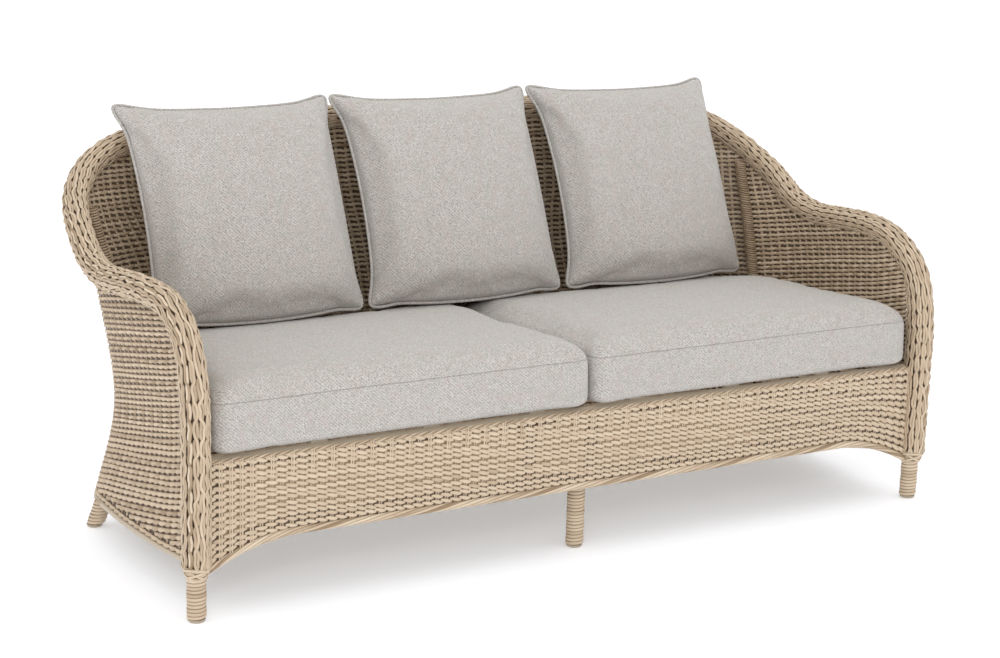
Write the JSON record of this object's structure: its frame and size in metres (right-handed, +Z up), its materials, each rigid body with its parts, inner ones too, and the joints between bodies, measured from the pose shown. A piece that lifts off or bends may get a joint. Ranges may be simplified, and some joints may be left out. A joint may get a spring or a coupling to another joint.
{
  "type": "garden sofa",
  "caption": "Woven synthetic rattan garden sofa with a rolled rim over the arms and back, boxed seat cushions and loose piped back cushions.",
  "frame": {"origin": "on the floor, under the middle of the overall box", "axes": "+X to the right of someone who looks at the back, +Y towards the back, +Z up"},
  "size_m": [1.8504, 0.85, 0.8816],
  "materials": {
    "rattan": "woven straw-coloured synthetic cane, satin",
    "frame_metal": "straw-coloured powder coat on aluminium tube",
    "glide_plastic": "dark moulded plastic",
    "cushion_fabric": "warm grey outdoor tweed"
  },
  "bodies": {
    "frame": {"roll_right": "rattan", "roll_back": "rattan", "roll_left": "rattan", "weave_side_right": "rattan", "weave_side_left": "rattan", "weave_back": "rattan", "weave_apron": "rattan", "border_right": "rattan", "border_left": "rattan", "border_back": "rattan", "border_front": "rattan", "wrap_front_right": "rattan", "wrap_front_left": "rattan", "wrap_rear_right": "rattan", "wrap_rear_left": "rattan", "wrap_front_centre": "rattan", "wrap_rear_centre": "rattan", "knot_front_right": "rattan", "knot_front_left": "rattan", "knot_rear_right": "rattan", "knot_rear_left": "rattan", "frame_hoop": "frame_metal", "frame_low_tube_right": "frame_metal", "frame_low_tube_left": "frame_metal", "frame_low_tube_back": "frame_metal", "frame_low_tube_front": "frame_metal", "frame_leg_rear_right": "frame_metal", "frame_leg_rear_left": "frame_metal", "frame_leg_front_centre": "frame_metal", "frame_leg_rear_centre": "frame_metal", "frame_stay_back": "frame_metal", "frame_seat_rail_front": "frame_metal", "frame_seat_rail_right": "frame_metal", "frame_seat_rail_left": "frame_metal", "frame_seat_rail_rear": "frame_metal", "frame_cross_tube": "frame_metal", "seat_slat_1": "frame_metal", "seat_slat_2": "frame_metal", "seat_slat_3": "frame_metal", "seat_slat_4": "frame_metal", "seat_slat_5": "frame_metal", "seat_slat_6": "frame_metal", "glide_front_right": "glide_plastic", "glide_front_left": "glide_plastic", "glide_rear_right": "glide_plastic", "glide_rear_left": "glide_plastic", "glide_front_centre": "glide_plastic", "glide_rear_centre": "glide_plastic"},
    "seat_right": {"seat_cushion_right": "cushion_fabric"},
    "seat_left": {"seat_cushion_left": "cushion_fabric"},
    "back_left": {"back_cushion_left": "cushion_fabric", "back_piping_left": "cushion_fabric"},
    "back_middle": {"back_cushion_middle": "cushion_fabric", "back_piping_middle": "cushion_fabric"},
    "back_right": {"back_cushion_right": "cushion_fabric", "back_piping_right": "cushion_fabric"}
  },
  "joints": [
    {"name": "seat_right_slide", "type": "slide", "parent": "frame", "child": "seat_right", "axis": [0, -0.9983, 0.0576], "range_m": [0, 0.65]},
    {"name": "seat_left_slide", "type": "slide", "parent": "frame", "child": "seat_left", "axis": [0, -0.9983, 0.0576], "range_m": [0, 0.65]},
    {"name": "back_left_lift", "type": "slide", "parent": "frame", "child": "back_left", "axis": [0, 0, 1], "range_m": [0, 0.5]},
    {"name": "back_middle_lift", "type": "slide", "parent": "frame", "child": "back_middle", "axis": [0, 0, 1], "range_m": [0, 0.5]},
    {"name": "back_right_lift", "type": "slide", "parent": "frame", "child": "back_right", "axis": [0, 0, 1], "range_m": [0, 0.5]}
  ]
}
